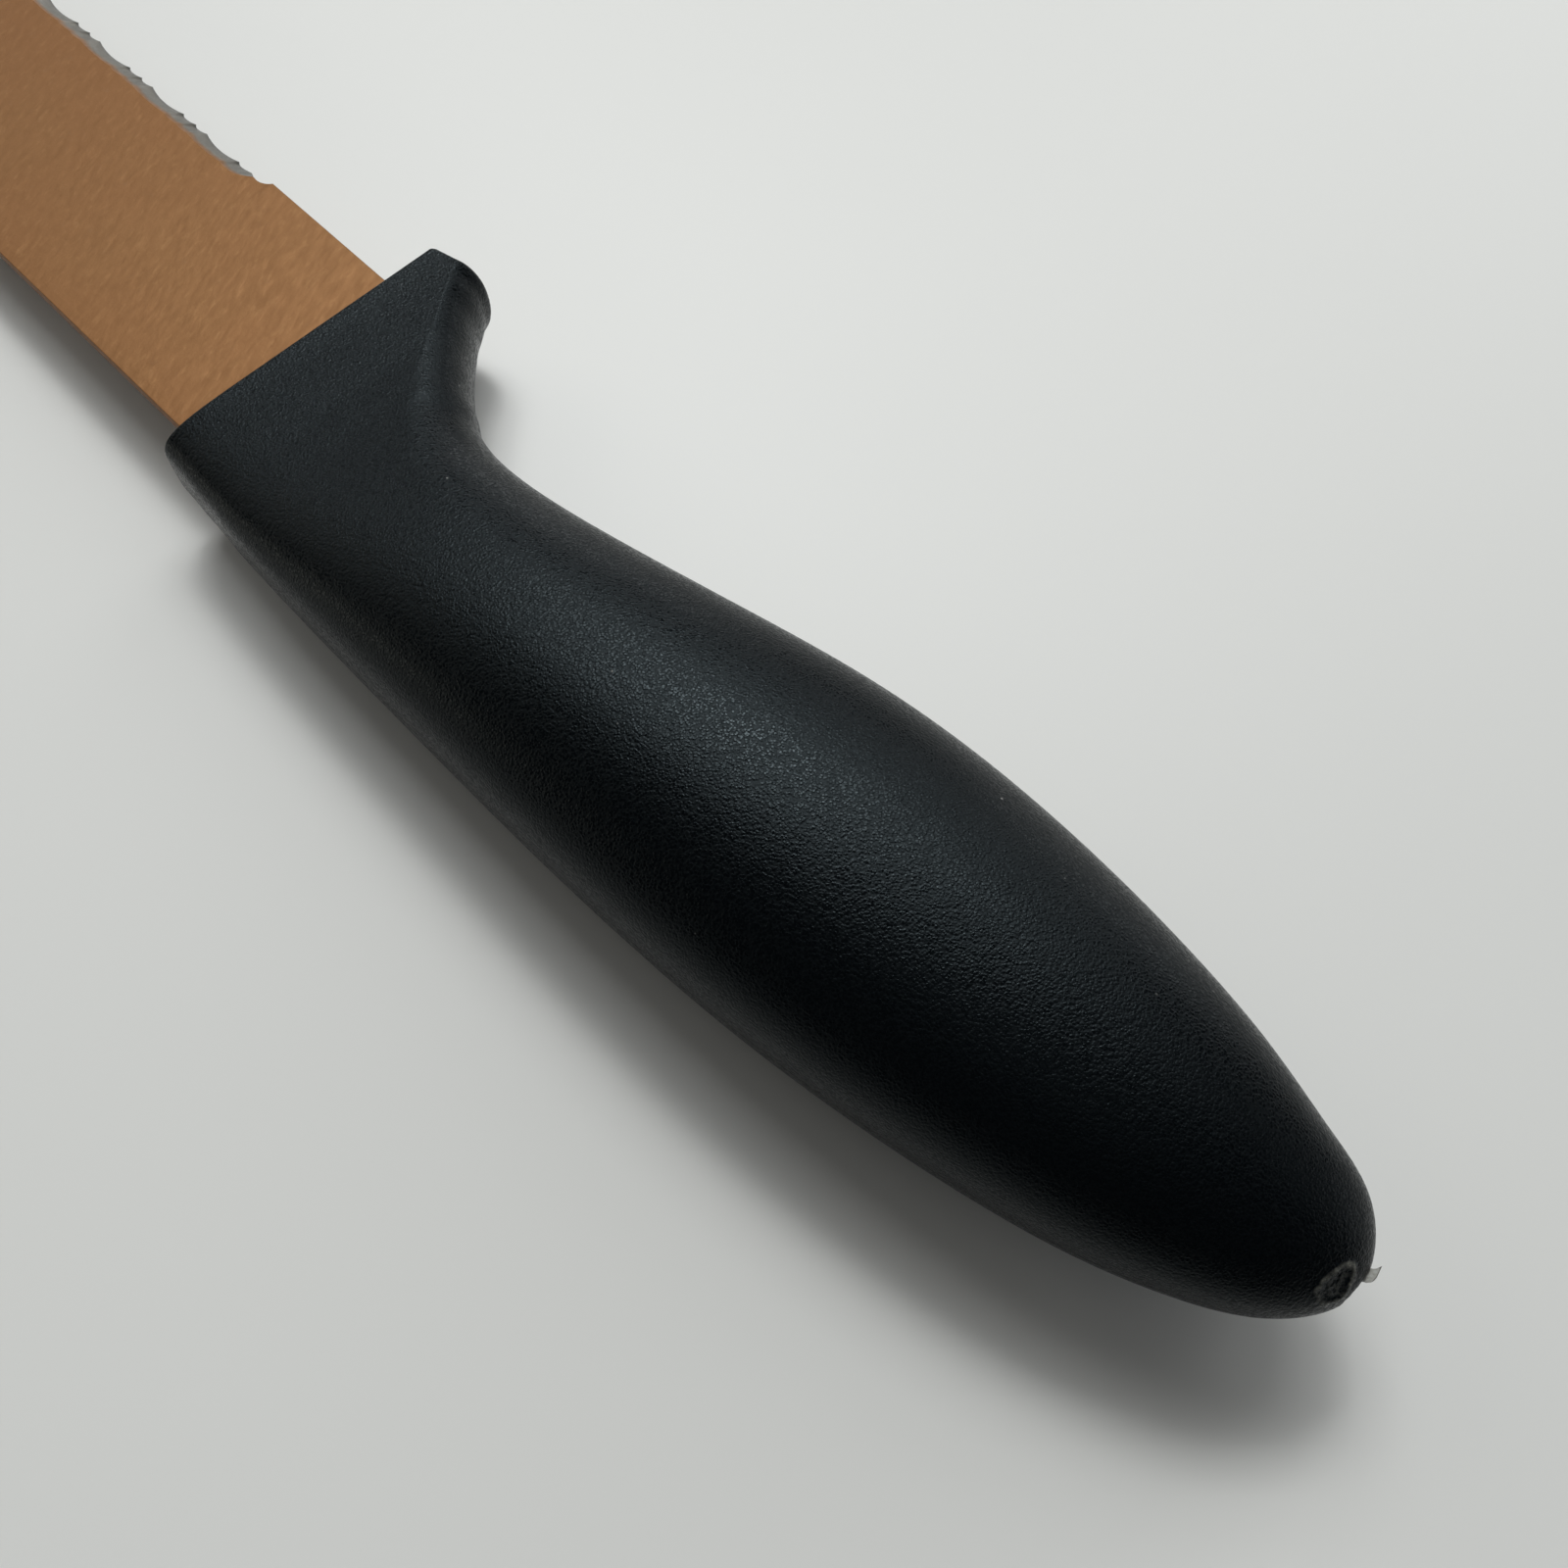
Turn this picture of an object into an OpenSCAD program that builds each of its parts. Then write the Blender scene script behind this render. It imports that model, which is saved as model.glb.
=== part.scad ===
// Kitchen knife: a stamped, coated steel blade with a serrated single-sided
// grind, and a one-shot moulded plastic handle that locks onto a hidden tang.
//
// Knife frame, used while building: origin on the blade's mid-plane at the
// front face of the handle, +X to the tip, -Y to the cutting edge, +Y to the
// spine, +Z out of the ground side. resting() then lays the finished knife on
// its side on z = 0, touching at the belly of the grip and at the tip.

/* [Blade] */
// Length of blade in front of the handle
blade_l = 200; // [185:1:215]
// Width of blade from spine to heel edge
blade_w = 26; // [24:0.5:28]
// Thickness of the steel strip
blade_t = 1.5; // [1.2:0.1:2]
// Straight unsharpened heel between handle and first tooth
heel_l = 23; // [18:1:30]
// Distance from the tip at which the edge starts to curve up
edge_curve_l = 52; // [45:1:60]
// Distance from the tip at which the spine starts to drop
spine_curve_l = 75; // [60:1:90]
// Height of the tip above the heel's edge line
tip_rise = 11; // [8:0.5:13]

/* [Serrations] */
// Width of the ground band on the top side
grind_w = 2.3; // [1.8:0.1:3]
// Length of each long scallop
long_c = 5.9; // [5:0.1:7]
// Length of the short scallop nearer the tip
short_a = 2; // [1.6:0.1:2.6]
// Length of the short scallop nearer the heel
short_b = 2.3; // [1.8:0.1:2.8]
// Depth of the long scallop, square to the ground face
long_s = 0.26; // [0.15:0.01:0.35]
// Depth of the short scallops, square to the ground face
short_s = 0.16; // [0.1:0.01:0.2]

/* [Tang] */
// Length of steel inside the handle
tang_l = 92; // [70:1:100]
// Width of the tang
tang_w = 13; // [10:0.5:14]
// How far the full blade width runs into the bolster
shoulder_l = 4; // [3:0.5:6]
// Radius of the holes that the handle plastic fills
lock_r = 3; // [2:0.25:4]
// Distance between the lock holes
lock_pitch = 24; // [20:1:28]

/* [Handle] */
// Overall length of the handle
handle_l = 126.5; // [120:0.5:134]
// Half thickness of the grip as a share of the drawn profile
thick_k = 1; // [0.9:0.01:1.08]
// Round-over of the front face's rim
rim_r = 0.4; // [0.2:0.1:0.8]
// Number of sides on each section of the grip
grip_sides = 44; // [32:4:52]
// Spacing of the sections along the grip
ring_step = 3; // [2.5:0.5:5]

/* [Hidden] */
$fn = 48;
e = 0.01;

spine_y = blade_w / 2;
edge_y = -blade_w / 2;
tip_y = edge_y + tip_rise;
// angle of the ground face below the blade's top face
grind_a = atan(blade_t / grind_w);
// the scallops start here and repeat towards the tip
grind_x = heel_l + 4.4;
pitch = long_c + short_a + short_b;

// radii of the two arcs that meet at the tip
edge_r = (edge_curve_l * edge_curve_l + tip_rise * tip_rise) / (2 * tip_rise);
tip_drop = spine_y - tip_y;
spine_r = (spine_curve_l * spine_curve_l + tip_drop * tip_drop) / (2 * tip_drop);
edge_x = blade_l - edge_curve_l;
spine_x = blade_l - spine_curve_l;
edge_a = asin(edge_curve_l / edge_r);
spine_a = asin(spine_curve_l / spine_r);

// Grip profile, from the butt to the bolster. Each row: distance from the
// butt, ridge line, spine side, edge side, half thickness, and how square the
// section's corner is on the spine side and on the edge side (2 is an ellipse).
PROFILE = [
    [-1.5, -2.5, -2.5, -2.5, 0, 2.1, 2.1],
    [3, -2.5, 4, -9.35, 4.6, 2.1, 2.1],
    [9, -1.8, 7.5, -10.45, 7, 2.1, 2.1],
    [17, -1, 10.87, -12.9, 9.2, 2.1, 2.1],
    [27, -0.2, 13.4, -14.25, 10.5, 2.2, 2.2],
    [38, 0.5, 15.55, -15.15, 11.2, 2.2, 2.2],
    [50, 1.2, 17.1, -15.1, 11.5, 2.3, 2.3],
    [62, 2, 17.8, -13.85, 11.3, 2.3, 2.3],
    [74, 3, 18.1, -11.05, 10.8, 2.3, 2.3],
    [86, 4, 18, -8.3, 9.9, 2.4, 2.3],
    [96, 4.5, 17.9, -6.4, 8.8, 2.5, 2.3],
    [102, 4.5, 17.8, -5.95, 7.9, 2.7, 2.4],
    [106, 4.5, 17.7, -6.35, 7.2, 2.9, 2.4],
    [109, 4, 17.6, -7.2, 6.7, 3.2, 2.4],
    [111.5, 3.5, 17.5, -8.8, 6.3, 3.5, 2.4],
    [113.5, 3, 17.4, -10.1, 6, 3.8, 2.5],
    [115.5, 2.7, 17.3, -11.9, 5.8, 4, 2.6],
    [117, 2.5, 17.2, -13.4, 5.6, 4.2, 2.8],
    [118.5, 2.2, 17, -15.1, 5.5, 4.4, 3],
    [120, 2, 16.9, -17.6, 5.4, 4.6, 3.5],
    [121.5, 2, 16.8, -19.3, 5.3, 4.8, 4],
    [123, 2, 16.7, -19.2, 5.2, 5, 5],
    [125, 2, 16.5, -18.8, 5.1, 5.3, 7],
    [126.5, 2, 16.4, -18.5, 5.1, 5.5, 10]
];
profile_l = 126.5;
NP = len(PROFILE);

// rows added at both ends: the mirror image past the butt makes the end
// smooth and round, the straight continuation ends the curve at the bolster
R1 = PROFILE[1];
BUTT = [R1[0], R1[1], 2 * R1[1] - R1[2], 2 * R1[1] - R1[3], -R1[4], R1[5], R1[6]];
ROWS = concat([BUTT], PROFILE, [2 * PROFILE[NP - 1] - PROFILE[NP - 2]]);

// cubic B-spline between rows i+1 and i+2, with f from 0 to 1
function spline(i, f) =
    (pow(1 - f, 3) * ROWS[i] + (3 * pow(f, 3) - 6 * f * f + 4) * ROWS[i + 1]
     + (-3 * pow(f, 3) + 3 * f * f + 3 * f + 1) * ROWS[i + 2]
     + pow(f, 3) * ROWS[i + 3]) / 6;

// sections per stretch: finer at the rounded butt and round the guard
function steps(i) = max(i < 2 ? 4 : 1, round((PROFILE[i + 1][0] - PROFILE[i][0]) / ring_step));

STATIONS = concat(
    [for (i = [0:NP - 2], k = [0:steps(i) - 1]) if (i + k > 0) spline(i, k / steps(i))],
    [spline(NP - 2, 1)]);
NS = len(STATIONS);

function sgn_pow(v, p) = sign(v) * pow(abs(v), p);

// one section: s is a station, x its place, inset draws it smaller all round
function ring(s, x, inset) = [
    for (j = [0:grip_sides - 1])
        let (a = 360 * j / grip_sides, c = cos(a), sn = sin(a),
             n = c >= 0 ? s[5] : s[6],
             w = (c >= 0 ? s[2] - s[1] : s[1] - s[3]) - inset)
        [x, s[1] + w * sgn_pow(c, 2 / n), (s[4] * thick_k - inset) * sgn_pow(sn, 2 / n)]];

function x_of(s) = (s[0] - profile_l) * handle_l / profile_l;

GRIP_POINTS = concat(
    [[-handle_l, PROFILE[0][1], 0]],
    [for (i = [0:NS - 2]) each ring(STATIONS[i], x_of(STATIONS[i]), 0)],
    [for (p = ring(STATIONS[NS - 1], -rim_r, 0)) p],
    [for (p = ring(STATIONS[NS - 1], 0, rim_r)) p]);
NR = NS + 1;

function id(i, j) = 1 + i * grip_sides + (j % grip_sides);

GRIP_FACES = concat(
    [for (j = [0:grip_sides - 1]) [0, id(0, j), id(0, j + 1)]],
    [for (i = [0:NR - 2], j = [0:grip_sides - 1]) each [
        [id(i, j), id(i + 1, j), id(i + 1, j + 1)],
        [id(i, j), id(i + 1, j + 1), id(i, j + 1)]]],
    [[for (j = [0:grip_sides - 1]) id(NR - 1, grip_sides - 1 - j)]]);

// resting pose: the plane through the lower corner of the tip that just
// touches the belly of the grip is the steepest of those to its sections
rest_a = atan(max([for (s = STATIONS) (s[4] * thick_k - blade_t / 2) / (blade_l - x_of(s))]));
rest_z = blade_t / 2 * cos(rest_a) + blade_l * sin(rest_a);
rest_x = (blade_l - handle_l) / 2 * cos(rest_a);
rest_y = -0.55;

module resting() {
    translate([-rest_x, -rest_y, rest_z]) rotate([0, rest_a, 0]) children();
}

// Outline of the steel blank: blade, notch at the start of the grind,
// shoulders and tang
module blank_outline() {
    steps_n = 24;
    y0 = edge_y;
    polygon(concat(
        // heel edge and the scooped notch where the grind begins
        [[-shoulder_l, y0], [heel_l, y0], [heel_l + 0.7, y0 + 0.55], [heel_l + 1.6, y0 + 0.85],
         [heel_l + 2.6, y0 + 0.8], [heel_l + 3.6, y0 + 0.5], [grind_x, y0 + 0.1],
         [grind_x + 1, y0], [edge_x, y0]],
        // the edge curves up to the tip
        [for (i = [1:steps_n]) let (a = edge_a * i / steps_n)
            [edge_x + edge_r * sin(a), y0 + edge_r - edge_r * cos(a)]],
        // the spine drops to the tip
        [for (i = [steps_n - 1:-1:0]) let (a = spine_a * i / steps_n)
            [spine_x + spine_r * sin(a), spine_y - spine_r + spine_r * cos(a)]],
        [[-shoulder_l, spine_y]]));
}

module tang_outline() {
    y1 = spine_y - 1;
    y0 = y1 - tang_w;
    difference() {
        union() {
            translate([-shoulder_l - e, edge_y]) square([shoulder_l + 3, blade_w]);
            translate([-tang_l + tang_w / 2, y0]) square([tang_l - tang_w / 2 - shoulder_l + e, tang_w]);
            translate([-tang_l + tang_w / 2, y0 + tang_w / 2]) circle(d = tang_w);
        }
        lock_places(y0 + tang_w / 2) circle(r = lock_r);
    }
}

module lock_places(y) {
    for (i = [0:2]) translate([-tang_l + tang_w / 2 + 4 + i * lock_pitch, y]) children();
}

module tang_solid() {
    translate([0, 0, -blade_t / 2]) linear_extrude(blade_t) tang_outline();
}

// One hollow-ground scallop at distance s along the edge: a round wheel of
// the radius that gives chord c at depth d, tilted to the ground face. Each is
// sunk a little deeper, so that neighbours overlap and leave a sharp tooth.
module scallop(s, c, d) {
    r = c * c / (8 * d) + d / 2;
    sink = 0.03;
    straight = s <= edge_x;
    a = straight ? 0 : (s - edge_x) / edge_r * 180 / PI;
    px = straight ? s : edge_x + edge_r * sin(a);
    py = straight ? edge_y : edge_y + edge_r - edge_r * cos(a);
    translate([px, py, -blade_t / 2]) rotate([0, 0, a]) rotate([grind_a, 0, 0])
        translate([0, 5.5, r - d - sink]) rotate([90, 0, 0]) cylinder(r = r, h = 7.5);
}

arc_l = edge_x + edge_r * edge_a * PI / 180;
n_groups = floor((arc_l - grind_x - 1) / pitch);
last_s = grind_x + n_groups * pitch;
n_last = floor((arc_l - last_s) / short_a);

module serrations() {
    for (i = [0:n_groups - 1]) {
        s = grind_x + i * pitch;
        scallop(s + short_b / 2, short_b, short_s);
        scallop(s + short_b + long_c / 2, long_c, long_s);
        scallop(s + short_b + long_c + short_a / 2, short_a, short_s);
    }
    // short scallops fill what is left at the tip
    for (i = [0:n_last - 1]) scallop(last_s + (i + 0.5) * short_a, short_a, short_s);
}

module blade() {
    color([0.72, 0.45, 0.26]) resting() difference() {
        union() {
            translate([0, 0, -blade_t / 2]) linear_extrude(blade_t) blank_outline();
            tang_solid();
        }
        serrations();
    }
}

module handle() {
    color([0.09, 0.1, 0.11]) resting() difference() {
        polyhedron(points = GRIP_POINTS, faces = GRIP_FACES, convexity = 4);
        tang_solid();
    }
}

blade();
handle();
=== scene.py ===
import math

import bmesh
import bpy
import numpy as np
from mathutils import Matrix, Vector, noise


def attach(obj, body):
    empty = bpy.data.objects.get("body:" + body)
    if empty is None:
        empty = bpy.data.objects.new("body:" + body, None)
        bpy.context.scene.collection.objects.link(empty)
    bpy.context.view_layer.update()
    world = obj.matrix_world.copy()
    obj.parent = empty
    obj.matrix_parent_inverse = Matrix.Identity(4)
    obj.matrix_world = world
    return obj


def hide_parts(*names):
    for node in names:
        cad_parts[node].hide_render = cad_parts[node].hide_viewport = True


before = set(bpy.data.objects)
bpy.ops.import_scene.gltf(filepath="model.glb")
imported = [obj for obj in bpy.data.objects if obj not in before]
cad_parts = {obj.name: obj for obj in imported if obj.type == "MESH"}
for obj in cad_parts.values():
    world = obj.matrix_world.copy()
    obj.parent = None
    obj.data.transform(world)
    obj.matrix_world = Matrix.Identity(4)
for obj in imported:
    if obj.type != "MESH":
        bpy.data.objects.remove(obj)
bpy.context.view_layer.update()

# ---------------------------------------------------------------- the frame
# The knife is drawn in millimetres in its own frame: origin on the blade's
# mid-plane at the front face of the handle, +X to the tip, +Y to the spine,
# +Z out of the ground side. It then lies down as the CAD has it.
REST_A = math.radians(2.2785)
REST_X, REST_Y, REST_Z = 36.7209, -0.55, 8.7009
CA, SA = math.cos(REST_A), math.sin(REST_A)


def to_world(p):
    """Knife frame in mm to the row frame in metres, for an array of points."""
    p = np.atleast_2d(np.asarray(p, float))
    return np.column_stack([
        p[:, 0] * CA + p[:, 2] * SA - REST_X,
        p[:, 1] - REST_Y,
        -p[:, 0] * SA + p[:, 2] * CA + REST_Z,
    ]) * 0.001


def turn(v):
    """A direction of the knife frame in the row frame."""
    return Vector((v[0] * CA + v[2] * SA, v[1], -v[0] * SA + v[2] * CA))


def smooth(t):
    t = np.clip(t, 0.0, 1.0)
    return t * t * (3 - 2 * t)


def build(name, points, quads, tris=(), fans=(), sharp=None):
    """A mesh object from points in the knife frame, quads, triangles and n-gons."""
    faces = [tuple(int(i) for i in q) for q in quads]
    faces += [tuple(int(i) for i in t) for t in tris]
    faces += [tuple(int(i) for i in f) for f in fans]
    me = bpy.data.meshes.new(name)
    me.from_pydata(to_world(points).tolist(), [], faces)
    me.update()
    ob = bpy.data.objects.new(name, me)
    bpy.context.scene.collection.objects.link(ob)
    me.polygons.foreach_set("use_smooth", [True] * len(me.polygons))
    if sharp is not None:
        me.set_sharp_from_angle(angle=math.radians(sharp))
    return ob


# ---------------------------------------------------------------- the handle
# distance from the butt, ridge, spine side, edge side, half thickness, and the
# squareness of the section on the spine side and on the edge side
PROFILE = [
    (-1.5, -2.5, -2.5, -2.5, 0, 2.1, 2.1),
    (3, -2.5, 4, -9.35, 4.6, 2.1, 2.1),
    (9, -1.8, 7.5, -10.45, 7, 2.1, 2.1),
    (17, -1, 10.87, -12.9, 9.2, 2.1, 2.1),
    (27, -0.2, 13.4, -14.25, 10.5, 2.2, 2.2),
    (38, 0.5, 15.55, -15.15, 11.2, 2.2, 2.2),
    (50, 1.2, 17.1, -15.1, 11.5, 2.3, 2.3),
    (62, 2, 17.8, -13.85, 11.3, 2.3, 2.3),
    (74, 3, 18.1, -11.05, 10.8, 2.3, 2.3),
    (86, 4, 18, -8.3, 9.9, 2.4, 2.3),
    (96, 4.5, 17.9, -6.4, 8.8, 2.5, 2.3),
    (102, 4.5, 17.8, -5.95, 7.9, 2.7, 2.4),
    (106, 4.5, 17.7, -6.35, 7.2, 2.9, 2.4),
    (109, 4, 17.6, -7.2, 6.7, 3.2, 2.4),
    (111.5, 3.5, 17.5, -8.8, 6.3, 3.5, 2.4),
    (113.5, 3, 17.4, -10.1, 6, 3.8, 2.5),
    (115.5, 2.7, 17.3, -11.9, 5.8, 4, 2.6),
    (117, 2.5, 17.2, -13.4, 5.6, 4.2, 2.8),
    (118.5, 2.2, 17, -15.1, 5.5, 4.4, 3),
    (120, 2, 16.9, -17.6, 5.4, 4.6, 3.5),
    (121.5, 2, 16.8, -19.3, 5.3, 4.8, 4),
    (123, 2, 16.7, -19.2, 5.2, 5, 5),
    (125, 2, 16.5, -18.8, 5.1, 5.3, 7),
    (126.5, 2, 16.4, -18.5, 5.1, 5.5, 10),
]
HANDLE_L = 126.5
P = np.array(PROFILE, float)
butt = P[1].copy()
butt[2:4] = 2 * P[1][1] - P[1][2:4]
butt[4] *= -1
ROWS = np.vstack([butt, P, 2 * P[-1] - P[-2]])


def spline(u):
    """The profile at u, which runs from 0 at the butt to the number of stretches."""
    i = min(int(u), len(P) - 2)
    f = u - i
    return ((1 - f) ** 3 * ROWS[i] + (3 * f ** 3 - 6 * f * f + 4) * ROWS[i + 1]
            + (-3 * f ** 3 + 3 * f * f + 3 * f + 1) * ROWS[i + 2] + f ** 3 * ROWS[i + 3]) / 6


SIDES = 280
FINE = [0.0, 0.07, 0.16, 0.3]  # mm from the parting line, where points are close


def edge_y(x):
    """The grip's outline on the edge side at x, without the guard."""
    return float(np.interp(x, EDGE_X_TAB, EDGE_Y_TAB))


tab = np.array([spline(u)[[0, 3]] for u in np.linspace(0, len(P) - 1.001, 900)])
EDGE_X_TAB, EDGE_Y_TAB = tab[:, 0] - HANDLE_L, tab[:, 1]

# the back of the guard, from the finger hollow out past its end, and its flat end
BACK = [(x, edge_y(x)) for x in np.arange(-60, -17.9, 0.5)]
BACK += [(-16.34, -8.2), (-14.65, -9.02), (-13.09, -10.17), (-11.49, -11.44), (-10.09, -12.76), (-8.75, -14.12),
         (-7.47, -15.42), (-6.47, -16.91), (-5.26, -18.42), (-5.14, -20.4), (-4.98, -22.4)]
BACK = np.array(BACK)
for _ in range(3):  # corner cutting: a smooth curve along the same points
    q = 0.75 * BACK[:-1] + 0.25 * BACK[1:]
    r = 0.25 * BACK[:-1] + 0.75 * BACK[1:]
    BACK = np.vstack([BACK[:1], np.stack([q, r], 1).reshape(-1, 2), BACK[-1:]])
GUARD_Y, GUARD_SLOPE, GUARD_R = -18.2, 0.269, 0.59


def end_y(x):
    return GUARD_Y + GUARD_SLOPE * x + GUARD_R - math.sqrt(max(0.0, GUARD_R ** 2 - max(0.0, x + GUARD_R) ** 2))


def guard_t(x, ys):
    """How far down the rounding is, from under 0 on the flat to 1 on the outline."""
    p = np.column_stack([np.full(len(ys), x), ys])
    seg = BACK[1:] - BACK[:-1]
    rel = p[:, None, :] - BACK[None, :-1, :]
    f = np.clip((rel * seg[None]).sum(2) / (seg ** 2).sum(1)[None], 0, 1)
    near = BACK[None, :-1] + seg[None] * f[..., None]
    dist = np.hypot(p[:, None, 0] - near[..., 0], p[:, None, 1] - near[..., 1])
    k = dist.argmin(1)
    rows = np.arange(len(ys))
    dist[rows, k] *= np.where(ys < np.interp(x, BACK[:, 0], BACK[:, 1]), -1, 1)
    wide = np.interp(near[rows, k, 0], [-30, -22, -17, -14.4, -13, -11.3, -9.5, -7.7, -6.6],
                     [9.0, 8.5, 6.2, 4.8, 4.1, 3.4, 2.8, 2.5, 2.4])
    back = 1 - dist[rows, k] / wide
    end = 1 - (ys - end_y(x)) / np.interp(x, [-7, -3, 0], [1.64, 1.14, 1.01])
    both = (np.maximum(back, 0) ** 3.9 + np.maximum(end, 0) ** 3.9) ** (1 / 3.9)
    return np.where(np.maximum(back, end) > 0, both, np.maximum(back, end))


def spread(y, z, cuts, fine_at_start):
    """Points along a curve, closer at the parting line and at the crease, its other end."""
    d = np.concatenate([[0], np.cumsum(np.hypot(np.diff(y), np.diff(z)))])
    total = d[-1]
    k = len(FINE)
    fine = np.minimum(np.array(FINE), total * 0.012 * np.arange(k))
    far = total - np.minimum(np.array([0.44, 0.22, 0.0]), total * 0.02 * np.array([2, 1, 0]))
    at = np.concatenate([fine[:-1], np.linspace(fine[-1], far[0], cuts - k)[:-1], far])
    if not fine_at_start:
        at = (total - at)[::-1]
    return np.interp(at, d, y), np.interp(at, d, z)


def section(s, x, inset=0.0):
    """SIDES points round one section, from the spine side over the top and back."""
    yc, y_top, y_low, H, n_top, n_low = s[1:7]
    quarter = SIDES // 4
    a = np.linspace(0, np.pi / 2, 400)
    # the spine side, to the ridge
    y1 = yc + (y_top - yc) * np.cos(a) ** (2 / n_top)
    z1 = H * np.sin(a) ** (2 / n_top)
    if x < -34:
        y2 = yc + (y_low - yc) * np.sin(a) ** (2 / n_low)
        z2 = H * np.cos(a) ** (2 / n_low)
    else:
        blend = float(smooth((x + 34) / 18))
        n = n_low + (2.2 - n_low) * blend
        crease = 0.34 * float(smooth((x + 13) / 5.5))
        ys = np.linspace(yc, -20.5, 900)
        T = blend * guard_t(x, ys) + (1 - blend) * (yc - ys) / (yc - y_low)
        T = np.maximum.accumulate(T)
        stop = int(np.argmax(T >= 1)) if (T >= 1).any() else len(T) - 1
        start = int(np.argmax(T > 0)) - 1
        start = max(0, start)
        Ts, Ys = T[start:stop + 1] + 1e-9 * np.arange(stop + 1 - start), ys[start:stop + 1]
        t = np.sin(a)
        y2 = np.interp(t, Ts, Ys)
        e = crease + (1 - crease) * t
        z2 = H * (np.maximum(1 - e ** n, 0) / (1 - crease ** n)) ** (1 / n)
        z2[0] = H
        y1 = np.concatenate([y1, [y2[0]]])
        z1 = np.concatenate([z1, [H]])
    ya, za = spread(y1, z1, quarter, True)
    yb, zb = spread(y2, z2, quarter, False)
    za[0] = zb[-1] = 0.0
    yy, zz = np.concatenate([ya, yb[1:]]), np.concatenate([za, zb[1:]])
    top = np.column_stack([np.full(len(yy), x), yy, zz])
    low = top[1:-1][::-1] * np.array([1, 1, -1])
    ring = np.vstack([top, low])
    if inset:
        tan = np.roll(ring, -1, 0) - np.roll(ring, 1, 0)
        nrm = np.column_stack([np.zeros(SIDES), tan[:, 2], -tan[:, 1]])
        nrm /= np.linalg.norm(nrm, axis=1, keepdims=True)
        if ((ring[:, 1:] - ring[:, 1:].mean(0)) * nrm[:, 1:]).sum() > 0:
            nrm = -nrm
        ring = ring + nrm * inset
    return ring


# stations: fine at the rounded butt and at the guard, 0.5 mm or less elsewhere
us = []
for i in range(len(P) - 1):
    gap = P[i + 1][0] - P[i][0]
    n = 26 if i == 0 else 24 if i == 1 else max(6, int(round(gap / (0.5 if P[i][0] < 100 else 0.22))))
    us += [i + k / n for k in range(n)]
us = us[1:] + [len(P) - 1 - 1e-9]
RIM = 0.2
FRONT_X = 0.3
rings = []
for u in us[:-1]:
    s = spline(u)
    if s[0] - HANDLE_L < -RIM - 0.05:
        rings.append(section(s, s[0] - HANDLE_L, 0))
end = spline(us[-1])
for k in range(7):
    f = k / 6 * math.pi / 2
    rings.append(section(end, -RIM + RIM * math.sin(f), RIM * (1 - math.cos(f))))
R = np.array(rings)
R[:, :, 0] += FRONT_X * np.clip((R[:, :, 0] + 3) / 3, 0, 1)
NR = len(R)

# The butt: the gate was cut off flat there, and beside the cut the plastic tore
# and turned pale, in a ring with a sunk middle.
GATE_X = -126.1
TORN = np.array([-124.75, -0.5, 2.85])


def ripple(p, scale, seed):
    """Smooth noise from -1 to 1 at each point."""
    return np.array([noise.noise(Vector(q * scale) + Vector((seed, 1.7 * seed, -seed))) for q in p])


def torn(p):
    """Radius from the middle of the scar and the radius of its ring, per point."""
    q = p - TORN
    u, w = -q[:, 1], np.where(q[:, 2] > 0, 1, -1) * np.hypot(q[:, 0], q[:, 2])
    u, w = u / 1.15, w / 0.95
    r, phi = np.hypot(u, w), np.arctan2(w, u)
    ring = 1.42 + 0.5 * np.maximum(np.cos(phi - 0.2), 0) ** 4 + 0.22 * ripple(p, 1.1, 3.0)
    return r, ring, np.clip(u / 1.5, -1, 1)


near_end = np.argwhere(R[:, 0, 0] < -119).max() + 1
E = R[:near_end]
n_u, n_v = np.gradient(E, axis=0), np.roll(E, -1, 1) - np.roll(E, 1, 1)
nrm = np.cross(n_u, n_v)
nrm /= np.linalg.norm(nrm, axis=2, keepdims=True) + 1e-12
if (nrm * (E - E.mean((0, 1)))).sum() < 0:
    nrm = -nrm
flat_pts = E.reshape(-1, 3)
r, ring, side = torn(flat_pts)
rough = ripple(flat_pts, 2.6, 9.0)
lip = np.exp(-((r - ring) / 0.24) ** 2)
pit = smooth((ring - 0.15 - r) / 0.5)
mark = np.clip(lip * (0.46 + 0.12 * side + 0.5 * rough) + 0.2 * pit * (rough > 0.1), 0, 0.58)
push = 0.1 * lip * (0.7 + 0.9 * rough) - 0.16 * pit * (0.8 + 0.5 * ripple(flat_pts, 1.7, 5.0))
flat_pts = flat_pts + nrm.reshape(-1, 3) * push[:, None]
cut = flat_pts[:, 0] < GATE_X
flat_pts[cut, 0] = GATE_X + 0.03 * ripple(flat_pts[cut], 3.0, 2.0) + 0.12 * (flat_pts[cut, 0] - GATE_X)
R[:near_end] = flat_pts.reshape(E.shape)
pale_and_shade = np.zeros((NR, SIDES))
pale_and_shade[:near_end] = np.maximum(mark, 0.25 * cut * (rough > 0.25)).reshape(E.shape[:2])

# the mould's parting line: a fine raised seam round the handle at z = 0
seam = np.zeros(SIDES)
for c in (0, SIDES // 2):
    for k, h in ((0, 0.02), (1, 0.011), (2, 0.0)):
        for sgn in (-1, 1):
            seam[(c + sgn * k) % SIDES] = h
along = R[:, :, 0]
out = np.where(R[:, :, 1] > 2, 1.0, -1.0)
fade = smooth((along + HANDLE_L - 2.0) / 4) * smooth((-0.6 - along) / 1.5)
R[:, :, 1] += out * seam[None, :] * fade

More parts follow.
